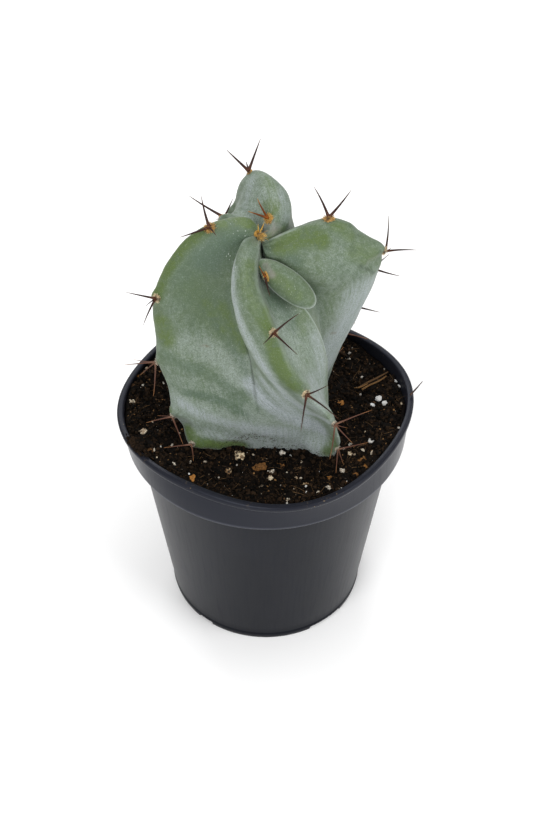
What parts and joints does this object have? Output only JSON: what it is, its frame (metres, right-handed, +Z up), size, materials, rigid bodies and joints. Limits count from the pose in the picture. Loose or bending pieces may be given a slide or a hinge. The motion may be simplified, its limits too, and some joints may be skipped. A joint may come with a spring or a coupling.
{
  "type": "potted gray ghost organ pipe cactus",
  "caption": "Short grey-green columnar cactus with broad wavy ribs and dark spine clusters, in a round black nursery pot of peat and perlite soil.",
  "frame": {"origin": "centre of the flat pad on the pot's underside, on the surface it stands on", "axes": "+Z up along the stem and the pot's axis, -Y towards the front view of the picture, +X to the viewer's right"},
  "size_m": [0.1087, 0.1022, 0.1834],
  "materials": {
    "pot_plastic": "charcoal black moulded nursery plastic, satin, with fine upright streaks and a dusty rim",
    "peat": "damp crumbly peat, matte, very dark brown with tan fibres and specks",
    "cactus_skin": "matte grey-green skin under a bluish-white waxy bloom, greener along the crests",
    "spine": "woody spines, dark red-brown with paler tips, over golden or cream felted wool",
    "perlite": "cream-white porous expanded grains, matte, stained by the peat",
    "bark": "orange-brown bark and twig, matte, fibrous"
  },
  "bodies": {
    "root": {"nursery_pot": "pot_plastic", "potting_soil": "peat", "cactus_stem": "cactus_skin", "spines_left_1": "spine", "spines_left_2": "spine", "spines_left_3": "spine", "spines_left_4": "spine", "spines_left_5": "spine", "spines_front_1": "spine", "spines_front_2": "spine", "spines_front_3": "spine", "spines_front_4": "spine", "spines_front_5": "spine", "spines_right_1": "spine", "spines_right_2": "spine", "spines_right_3": "spine", "spines_right_4": "spine", "spines_right_5": "spine", "spines_right_6": "spine", "spines_back_1": "spine", "spines_back_2": "spine", "spines_back_3": "spine", "spines_back_4": "spine", "spines_back_5": "spine", "spines_back_6": "spine", "spines_rear_left_1": "spine", "spines_rear_left_2": "spine", "spines_rear_left_3": "spine", "spines_rear_left_4": "spine", "spines_rear_left_5": "spine", "spines_young_1": "spine", "perlite_1": "perlite", "perlite_2": "perlite", "perlite_3": "perlite", "perlite_4": "perlite", "perlite_5": "perlite", "perlite_6": "perlite", "perlite_7": "perlite", "perlite_8": "perlite", "perlite_9": "perlite", "perlite_10": "perlite", "perlite_11": "perlite", "perlite_12": "perlite", "perlite_13": "perlite", "perlite_14": "perlite", "bark_chip_1": "bark", "bark_chip_2": "bark", "bark_chip_3": "bark", "twig": "bark", "fallen_spine": "spine"}
  },
  "joints": []
}
